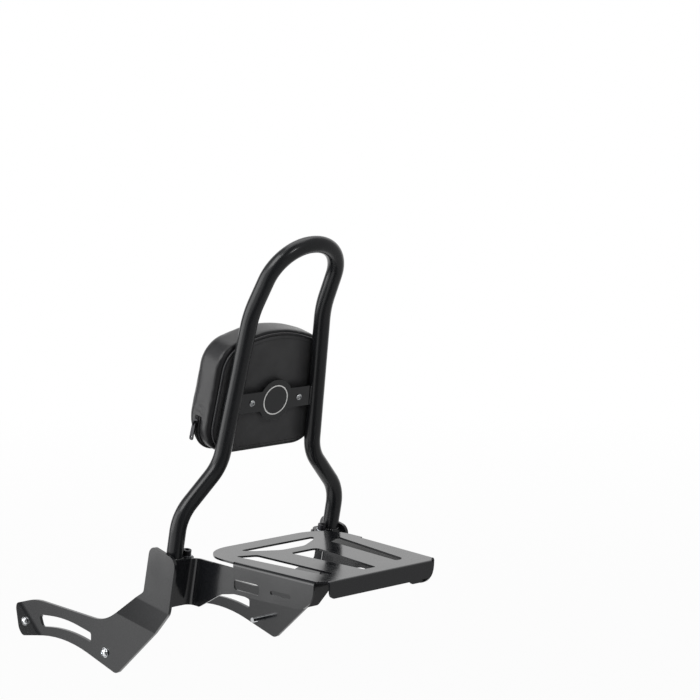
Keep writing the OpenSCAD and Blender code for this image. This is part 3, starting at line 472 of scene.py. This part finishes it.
def makeCover():
    vertices, faces = loft(coverRings())
    cover = meshObject("cushion_cover", vertices, faces, coverLeather)
    remesh = cover.modifiers.new("grid", "REMESH")
    remesh.mode = "VOXEL"
    remesh.voxel_size = pad["voxel"]
    remesh.use_smooth_shade = True
    applyModifiers(cover)
    sewn = BVHTree.FromPolygons([tuple(v) for v in vertices], faces)
    for vertex in cover.data.vertices:
        vertex.co = sewn.find_nearest(vertex.co)[0]
    inflate(cover)
    creaseCover(cover)
    openBack(cover)
    smooth = cover.modifiers.new("soft", "SUBSURF")
    smooth.levels = 1
    smooth.render_levels = 1
    applyModifiers(cover)
    shell = cover.modifiers.new("skin", "SOLIDIFY")
    shell.thickness = pad["coverThickness"]
    shell.offset = -1
    applyModifiers(cover)
    cover.data.materials.clear()
    cover.data.materials.append(coverLeather)
    for polygon in cover.data.polygons:
        polygon.use_smooth = True
    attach(cover, "frame")
    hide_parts("pad_cover", "pad_foam")
    return cover


def inflate(cover):
    # the cover is blown up a little against its seams: the rim by the piping and the zip's band hold still
    held = cover.vertex_groups.new(name="held")
    bandLow = pad["backForward"] + zipMiddle - pad["zipWidth"] / 2 - 0.001
    bandHigh = pad["backForward"] + zipMiddle + pad["zipWidth"] / 2 + 0.001
    for vertex in cover.data.vertices:
        x, forward, up = hoopCoordinates(vertex.co)
        isRim = forward < pad["backForward"] + rimOut + 0.0035
        isBand = bandLow < forward < bandHigh and up < pad["low"] + pad["zipRise"] + 0.004
        if isRim or isBand:
            held.add([vertex.index], 1.0, "REPLACE")
    start = [v.co.copy() for v in cover.data.vertices]
    cloth = cover.modifiers.new("cloth", "CLOTH")
    settings = cloth.settings
    settings.use_pressure = True
    settings.uniform_pressure_force = pad["pressure"]
    settings.vertex_group_mass = "held"
    settings.quality = 6
    settings.mass = 0.3
    settings.tension_stiffness = 25
    settings.compression_stiffness = 25
    settings.bending_stiffness = 1.5
    settings.effector_weights.gravity = 0
    scene = bpy.context.scene
    for step in range(1, 21):  # 20 frames settle it
        scene.frame_set(step)
    applyModifiers(cover)
    scene.frame_set(1)
    for vertex, before in zip(cover.data.vertices, start):
        moved = vertex.co - before
        if moved.length > pad["swellCap"]:
            vertex.co = before + moved.normalized() * pad["swellCap"]
    print("cover inflated")


def creaseCover(cover):
    # a slow unevenness of the foam, and short pulls where the zip ends at each side
    cover.data.update()
    for vertex in cover.data.vertices:
        x, forward, up = hoopCoordinates(vertex.co)
        depth = forward - pad["backForward"]
        if depth < rimOut + 0.004:
            continue
        slow = noise.noise(Vector((x, depth * 1.5, up)) * 22) * 0.0005
        endUp = pad["low"] + pad["zipRise"]
        near = math.exp(-(((up - endUp - 0.006) / 0.016) ** 2) - ((depth - zipMiddle) / 0.012) ** 2)
        atSide = 1 if abs(x) > pad["halfHigh"] else 0
        pull = -0.0009 * near * atSide + 0.0006 * near * atSide * math.sin((up + depth * 0.5) * 900)
        vertex.co += vertex.normal * (slow + pull)


def openBack(cover):
    # the skin ends behind the piping, so its back is open to the panel
    hole = padOutline(0.0015, 0.0015, 0.0015)
    work = bmesh.new()
    work.from_mesh(cover.data)
    drop = []
    for face in work.faces:
        x, forward, up = hoopCoordinates(face.calc_center_median())
        if forward < pad["backForward"] + rimOut + 0.0016 and inOutline(x, up, hole):
            drop.append(face)
    bmesh.ops.delete(work, geom=drop, context="FACES")
    loose = [v for v in work.verts if not v.link_faces]
    bmesh.ops.delete(work, geom=loose, context="VERTS")
    work.to_mesh(cover.data)
    work.free()


cushionCover = makeCover()
print("cushion made:", len(cushionCover.data.polygons), "faces")


panel = {
    "pillow": 0.0055,        # rise between the legs
    "middle": 0.0915,        # height above the cushion's low edge
    "halfHeight": 0.090,
    "boltHold": 0.017,       # how far round a bolt the panel is held down
    "slow": 0.0004,
}


def panelRise(x, up):
    # the back panel swells between the legs, and the two bolts hold it down
    between = legX(up) - hoop["tubeRadius"] - 0.002
    across = max(0.0, 1 - (x / between) ** 2)
    middle = pad["low"] + panel["middle"]
    along = max(0.0, 1 - ((up - middle) / panel["halfHeight"]) ** 2)
    held = 1.0
    for side in (-1, 1):
        away = math.hypot(x - side * hoop["boltHalf"], up - hoop["plateHeight"])
        held *= 1 - 0.9 * math.exp(-(away / panel["boltHold"]) ** 2)
    slow = noise.noise(Vector((x, 0, up)) * 30) * panel["slow"]
    return (panel["pillow"] * across ** 0.7 + slow * across) * along ** 0.5 * held


def makePanel():
    steps = 26
    edge = padOutline(0.0012, 0.0012, 0.0012, 12)
    middle = Vector((0, pad["low"] + panel["middle"]))
    vertices, faces = [], []
    count = len(edge)
    for k in range(steps):
        share = 1 - (k / steps) ** 1.15
        for p in edge:
            q = middle + (p - middle) * share
            rise = panelRise(q.x, q.y) if k else -0.0008
            vertices.append(onHoop(q.x, pad["backForward"] - rise, q.y))
    vertices.append(onHoop(0, pad["backForward"] - panelRise(0, middle.y), middle.y))
    top = len(vertices) - 1
    for k in range(steps - 1):
        for j in range(count):
            m = (j + 1) % count
            faces.append([k * count + j, k * count + m, (k + 1) * count + m, (k + 1) * count + j])
    for j in range(count):
        faces.append([(steps - 1) * count + j, (steps - 1) * count + (j + 1) % count, top])
    front = len(vertices)
    for p in edge:
        vertices.append(onHoop(p.x, pad["backForward"] + 0.0016, p.y))
    for j in range(count):
        m = (j + 1) % count
        faces.append([front + j, front + m, m, j])
    faces.append([front + j for j in range(count)][::-1])
    cloth = meshObject("back_panel", vertices, faces, backLeather)
    smooth = cloth.modifiers.new("soft", "SUBSURF")
    smooth.levels = 1
    smooth.render_levels = 1
    applyModifiers(cloth)
    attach(cloth, "frame")
    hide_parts("pad_back_panel")


makePanel()


# thread: short stitches along a line, each sunk at both ends
def stitchRow(name, points, outwards, spacing, length, radius, material, body="frame"):
    vertices, faces = [], []
    distance = [0.0]
    for a, b in zip(points, points[1:]):
        distance.append(distance[-1] + (b - a).length)
    total = distance[-1]

    def along(d):
        d = max(0.0, min(total, d))
        for i in range(len(points) - 1):
            if d <= distance[i + 1] or i == len(points) - 2:
                k = (d - distance[i]) / max(1e-9, distance[i + 1] - distance[i])
                return points[i].lerp(points[i + 1], k), outwards[i].lerp(outwards[i + 1], k).normalized()

    at = spacing / 2
    while at < total:
        rings = []
        for k in range(5):
            u = k / 4 - 0.5
            centre, normal = along(at + u * length)
            ahead, _ = along(at + u * length + 0.0003)
            behind, _ = along(at + u * length - 0.0003)
            tangent = (ahead - behind).normalized()
            side = tangent.cross(normal).normalized()
            lift = radius * (1.2 * math.cos(u * math.pi) - 0.55)
            size = radius * (0.55 + 0.45 * math.cos(u * math.pi))
            rings.append([centre + normal * (lift + size * math.sin(w)) + side * size * math.cos(w)
                          for w in [math.tau * s / 6 for s in range(6)]])
        base = len(vertices)
        for ring in rings:
            vertices.extend(ring)
        for i in range(4):
            for j in range(6):
                k = (j + 1) % 6
                low, high = base + i * 6, base + (i + 1) * 6
                faces.append([low + j, low + k, high + k, high + j])
        faces.append([base + j for j in range(6)][::-1])
        faces.append([base + 24 + j for j in range(6)])
        at += spacing
    piece = meshObject(name, vertices, faces, material)
    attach(piece, body)
    return piece


def makeThread(name):
    # bonded polyester thread: black, slightly waxy
    material, tree, shader, place = newFinish(name, Base_Color=toLinear("#1e1e20"), Roughness=0.55)
    ply = addNode(tree, "ShaderNodeTexWave", {"Scale": perMetre(0.8) / 6.283, "Distortion": 1.0},
                  {"Vector": place})
    bump = addNode(tree, "ShaderNodeBump", {"Strength": 0.4, "Distance": 0.0001},
                   {"Height": ply.outputs["Fac"]})
    tree.links.new(bump.outputs["Normal"], shader.inputs["Normal"])
    return material


thread = makeThread("black_bonded_thread")
stitching = {"inset": 0.0035, "spacing": 0.0042, "length": 0.0030, "radius": 0.00045}


def panelStitches():
    line = padOutline(-stitching["inset"], -stitching["inset"], -stitching["inset"], 14)
    points = [onHoop(p.x, pad["backForward"] - panelRise(p.x, p.y), p.y) for p in line]
    points.append(points[0])
    out = -(onHoop(0, 1, 0) - onHoop(0, 0, 0))
    row = stitchRow("panel_stitches", points, [out] * len(points), stitching["spacing"], stitching["length"],
                    stitching["radius"], thread)


panelStitches()


# zip: the two rows of coil turns along the tape, and the stitch lines on its edges
zipCoil = {"pitch": 0.0016, "turnRadius": 0.00042, "rowOffset": 0.0011, "rise": 0.00235}


def zipLine(outwardsBy, forward, steps=16):
    # the zip's path round the foot of the cushion, from the left end to the right one
    line = padOutline(pad["swell"] + outwardsBy, pad["swellTop"], 0.003 + outwardsBy, steps)
    dense = []
    for i, p in enumerate(line):
        q = line[(i + 1) % len(line)]
        parts = max(1, int((q - p).length / 0.004))
        for k in range(parts):
            dense.append(p.lerp(q, k / parts))
    top = pad["low"] + pad["zipRise"]
    low = [p for p in dense if p.y < top]
    # the outline runs from the lower left corner, so the part left of it comes last
    left = [p for p in low if p.x < 0]
    right = [p for p in low if p.x >= 0]
    left.sort(key=lambda p: math.atan2(p.x, -(p.y - top)))
    right.sort(key=lambda p: math.atan2(p.x, -(p.y - top)))
    ordered = left + right
    points = [onHoop(p.x, forward, p.y) for p in ordered]
    centre = onHoop(0, forward, top)
    normals = []
    for i in range(len(points)):
        tangent = (points[min(i + 1, len(points) - 1)] - points[max(i - 1, 0)]).normalized()
        normal = tangent.cross(onHoop(0, 1, 0) - onHoop(0, 0, 0)).normalized()
        if normal.dot(points[i] - centre) < 0:
            normal = -normal
        normals.append(normal)
    return points, normals


def makeCoil():
    forward = pad["backForward"] + zipMiddle
    for number, side in enumerate((-1, 1)):
        points, normals = zipLine(zipCoil["rise"] - 0.0003, forward + side * zipCoil["rowOffset"])
        row = stitchRow("zip_coil_%d" % number, points, normals, zipCoil["pitch"], zipCoil["pitch"] * 0.8,
                        zipCoil["turnRadius"], coilPlastic)
    for number, side in enumerate((-1, 1)):
        points, normals = zipLine(0.0010, forward + side * (pad["zipWidth"] / 2 - 0.0016))
        row = stitchRow("zip_stitches_%d" % number, points, normals, 0.0034, 0.0025, 0.0004, thread)


def makeCoilPlastic(name):
    # drawn nylon monofilament: black, smooth and glossy
    material, tree, shader, place = newFinish(name, Base_Color=toLinear("#161618"), Roughness=0.3, IOR=1.53)
    cloud = addNode(tree, "ShaderNodeTexNoise", {"Scale": perMetre(3)}, {"Vector": place})
    ramp = addNode(tree, "ShaderNodeValToRGB", links={"Fac": cloud.outputs["Fac"]})
    setRamp(ramp, [(0.3, grey(0.25)), (0.7, grey(0.38))])
    tree.links.new(ramp.outputs["Color"], shader.inputs["Roughness"])
    return material


coilPlastic = makeCoilPlastic("black_nylon_coil")
makeCoil()
print("zip and stitches made")


# printed ring on the disc, seen from behind the hoop
ring = {"radius": 0.0224, "width": 0.0018, "thickness": 0.00012, "steps": 96}


def makeRing():
    vertices, faces = [], []
    back = -hoop["plateThickness"] / 2
    count = ring["steps"]
    for i in range(count):
        w = math.tau * i / count
        for radius, depth in ((-0.5, 0.0), (-0.5, -1.0), (0.5, -1.0), (0.5, 0.0)):
            r = ring["radius"] + radius * ring["width"]
            vertices.append(onHoop(r * math.cos(w), back + depth * ring["thickness"],
                                   hoop["plateHeight"] + r * math.sin(w)))
    for i in range(count):
        j = (i + 1) % count
        for k in range(4):
            m = (k + 1) % 4
            faces.append([i * 4 + k, i * 4 + m, j * 4 + m, j * 4 + k])
    piece = meshObject("disc_ring", vertices, faces, ringPaint, smooth=False)
    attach(piece, "frame")


makeRing()


# weld beads: a rounded ridge with the ripples that the torch leaves
bead = {"radius": 0.0024, "ripple": 0.0022, "depth": 0.22, "sides": 10}


def weldBead(name, points, closed=False, radius=None):
    radius = radius or bead["radius"]
    dense = []
    count = len(points)
    pairs = count if closed else count - 1
    for i in range(pairs):
        a, b = points[i], points[(i + 1) % count]
        parts = max(1, round((b - a).length / 0.0006))
        dense.extend(a.lerp(b, k / parts) for k in range(parts))
    if not closed:
        dense.append(points[-1])
    vertices, faces = [], []
    sides = bead["sides"]
    number = len(dense)
    travelled = 0.0
    up = None
    for i, centre in enumerate(dense):
        ahead = dense[(i + 1) % number] if closed or i < number - 1 else dense[i]
        behind = dense[i - 1] if closed or i else dense[i]
        tangent = (ahead - behind).normalized()
        if up is None:
            up = tangent.orthogonal().normalized()
        up = (up - tangent * up.dot(tangent)).normalized()
        side = tangent.cross(up)
        if i:
            travelled += (centre - dense[i - 1]).length
        wave = (travelled / bead["ripple"]) % 1.0
        size = radius * (1 - bead["depth"] * (wave - 0.5) ** 2 * 2)
        size *= 1 + 0.10 * noise.noise(centre * 260)
        if not closed:
            size *= min(1.0, 0.35 + min(i, number - 1 - i) / 4)
        for k in range(sides):
            w = math.tau * k / sides
            vertices.append(centre + (up * math.cos(w) + side * math.sin(w)) * size)
    rows = number if closed else number - 1
    for i in range(rows):
        j = (i + 1) % number
        for k in range(sides):
            m = (k + 1) % sides
            faces.append([i * sides + k, i * sides + m, j * sides + m, j * sides + k])
    if not closed:
        faces.append([k for k in range(sides)][::-1])
        faces.append([(number - 1) * sides + k for k in range(sides)])
    piece = meshObject(name, vertices, faces, blackPowder)
    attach(piece, "frame")
    return piece


def makeWelds():
    for sideName, side in (("left", -1), ("right", 1)):
        # leg to foot plate
        circle = []
        for i in range(48):
            w = math.tau * i / 48
            r = hoop["tubeRadius"] + 0.0004
            circle.append(onHoop(side * hoop["footHalfWidth"] + r * math.cos(w), r * math.sin(w), 0.0056))
        weldBead("foot_weld_" + sideName, circle, closed=True, radius=0.0022)
        # cross plate to leg, along both faces
        for faceName, forward in (("rear", -0.0022), ("front", 0.0022)):
            line = []
            for k in range(9):
                up = hoop["plateHeight"] - 0.0150 + 0.0300 * k / 8
                inner = legX(up) - math.sqrt(hoop["tubeRadius"] ** 2 - forward ** 2) - 0.0004
                line.append(onHoop(side * inner, forward * 1.15, up))
            weldBead("plate_weld_%s_%s" % (faceName, sideName), line, radius=0.0019)


makeWelds()
print("welds made")


# floor, light and camera

# what shiny pieces see round them: level ground direction, where its edge begins and ends, and its brightness
room = {
    "dim": 0.08,
    "parts": [
        ((0.670, 0.742, 0.0), 0.55, 0.85, 1.0),     # white backdrop behind the part, seen from the camera
        ((-0.940, 0.342, 0.0), 0.68, 0.86, 1.0),    # white flat beside the left softbox
        ((0.742, -0.670, 0.0), 0.05, 0.80, 0.42),   # grey wall to the right
    ],
}


def roomShine(tree, direction):
    flat = addNode(tree, "ShaderNodeVectorMath", {"operation": "MULTIPLY", 1: (1, 1, 0)}, {0: direction})
    bearing = addNode(tree, "ShaderNodeVectorMath", {"operation": "NORMALIZE"}, {0: flat.outputs["Vector"]})
    shine = None
    for towards, begin, end, level in room["parts"]:
        share = addNode(tree, "ShaderNodeVectorMath", {"operation": "DOT_PRODUCT", 1: towards},
                        {0: bearing.outputs["Vector"]})
        edge = addNode(tree, "ShaderNodeMapRange", {"interpolation_type": "SMOOTHSTEP", "From Min": begin,
                                                    "From Max": end, "To Min": room["dim"], "To Max": level},
                       {"Value": share.outputs["Value"]})
        if shine is None:
            shine = edge.outputs["Result"]
        else:
            brighter = addNode(tree, "ShaderNodeMath", {"operation": "MAXIMUM"},
                               {0: shine, 1: edge.outputs["Result"]})
            shine = brighter.outputs["Value"]
    return shine


def makeFloor():
    size = {"half": 40.0, "below": 0.60, "fadeFrom": 2.2, "fadeTo": 6.0}
    low = cadBox[0][2] - size["below"]
    h = size["half"]
    corners = [(-h, -h, low), (h, -h, low), (h, h, low), (-h, h, low)]
    floor = meshObject("floor", corners, [[0, 1, 2, 3]], None, False)
    material = bpy.data.materials.new("pale_matt_floor")
    material.use_nodes = True
    tree = material.node_tree
    tree.nodes.clear()
    output = addNode(tree, "ShaderNodeOutputMaterial")
    path = addNode(tree, "ShaderNodeLightPath")
    place = addNode(tree, "ShaderNodeTexCoord")
    shiny = addNode(tree, "ShaderNodeMix", {"data_type": "FLOAT", 2: 1.0},
                    {0: path.outputs["Is Glossy Ray"], 3: roomShine(tree, place.outputs["Object"])})
    tone = addNode(tree, "ShaderNodeMath", {"operation": "MULTIPLY", 1: 0.86}, {0: shiny.outputs[0]})
    matt = addNode(tree, "ShaderNodeBsdfDiffuse", links={"Color": tone.outputs["Value"]})
    white = addNode(tree, "ShaderNodeEmission", {"Color": grey(1.0)}, {"Strength": shiny.outputs[0]})
    seen = addNode(tree, "ShaderNodeMath", {"operation": "MAXIMUM"},
                   {0: path.outputs["Is Camera Ray"], 1: path.outputs["Is Glossy Ray"]})
    distance = addNode(tree, "ShaderNodeVectorMath", {"operation": "LENGTH"}, {0: place.outputs["Object"]})
    fade = addNode(tree, "ShaderNodeMapRange", {"From Min": size["fadeFrom"], "From Max": size["fadeTo"],
                                                "To Min": 0.93, "To Max": 1.0},
                   {"Value": distance.outputs["Value"]})
    share = addNode(tree, "ShaderNodeMath", {"operation": "MULTIPLY"},
                    {0: seen.outputs["Value"], 1: fade.outputs["Result"]})
    mix = addNode(tree, "ShaderNodeMixShader", {}, {"Fac": share.outputs["Value"], 1: matt.outputs["BSDF"],
                                                    2: white.outputs["Emission"]})
    tree.links.new(mix.outputs["Shader"], output.inputs["Surface"])
    floor.data.materials.append(material)


studio = {
    "worldDiffuse": 0.45,
    "lamps": {
        # name: (place, aim, width, height, radiance)
        "frontLeft": ((-2.9, 2.15, 0.40), (0, 0.1, 0.40), 3.0, 2.4, 2.0),
        "upperLeft": ((-2.6, 0.1, 2.2), (0, 0.1, 0.1), 1.9, 1.9, 4.5),
        "overhead": ((0.3, 0.5, 2.8), (0, 0.1, 0.1), 2.0, 2.0, 1.4),
        "spark": ((-0.8, -3.4, 2.2), (0, 0.1, 0.1), 0.4, 0.4, 30.0),
    },
}


def makeLight():
    world = bpy.data.worlds.new("studio")
    bpy.context.scene.world = world
    world.use_nodes = True
    tree = world.node_tree
    tree.nodes.clear()
    output = addNode(tree, "ShaderNodeOutputWorld")
    path = addNode(tree, "ShaderNodeLightPath")
    place = addNode(tree, "ShaderNodeTexCoord")
    shine = roomShine(tree, place.outputs["Generated"])
    seenGlossy = addNode(tree, "ShaderNodeBackground", {"Color": grey(1.0)}, {"Strength": shine})
    seenCamera = addNode(tree, "ShaderNodeBackground", {"Color": grey(1.0), "Strength": 1.0})
    diffuse = addNode(tree, "ShaderNodeBackground", {"Color": grey(1.0), "Strength": studio["worldDiffuse"]})
    first = addNode(tree, "ShaderNodeMixShader", {}, {"Fac": path.outputs["Is Glossy Ray"],
                                                      1: diffuse.outputs["Background"],
                                                      2: seenGlossy.outputs["Background"]})
    second = addNode(tree, "ShaderNodeMixShader", {}, {"Fac": path.outputs["Is Camera Ray"],
                                                       1: first.outputs["Shader"],
                                                       2: seenCamera.outputs["Background"]})
    tree.links.new(second.outputs["Shader"], output.inputs["Surface"])
    for name, (place, aim, width, height, radiance) in studio["lamps"].items():
        data = bpy.data.lights.new(name, "AREA")
        data.shape = "RECTANGLE"
        data.size = width
        data.size_y = height
        data.energy = radiance * math.pi * width * height
        lamp = bpy.data.objects.new(name, data)
        lamp.location = place
        lamp.rotation_euler = (Vector(aim) - Vector(place)).to_track_quat("-Z", "Y").to_euler()
        lamp.visible_camera = False
        bpy.context.scene.collection.objects.link(lamp)


camera = {
    "place": (-2.2081, -2.5587, 0.7896),
    "turn": 42.071,           # degrees from +Y towards +X
    "down": 8.234,
    "roll": 0.294,
    "focalPixels": 2315.9,    # for an image 700 pixels wide
}


def makeCamera():
    turn, down, roll = (math.radians(camera[key]) for key in ("turn", "down", "roll"))
    right = Vector((math.cos(turn), -math.sin(turn), 0))
    ahead = Vector((math.sin(turn) * math.cos(down), math.cos(turn) * math.cos(down), -math.sin(down)))
    up = right.cross(ahead)
    right, up = right * math.cos(roll) + up * math.sin(roll), up * math.cos(roll) - right * math.sin(roll)
    data = bpy.data.cameras.new("camera")
    data.sensor_width = 36
    data.lens = 36 * camera["focalPixels"] / 700
    data.clip_end = 200
    eye = bpy.data.objects.new("camera", data)
    eye.matrix_world = Matrix((
        (right.x, up.x, -ahead.x, camera["place"][0]),
        (right.y, up.y, -ahead.y, camera["place"][1]),
        (right.z, up.z, -ahead.z, camera["place"][2]),
        (0, 0, 0, 1),
    ))
    bpy.context.scene.collection.objects.link(eye)
    bpy.context.scene.camera = eye


makeFloor()
makeLight()
makeCamera()
bpy.context.scene.view_settings.view_transform = "Standard"
print("studio made")
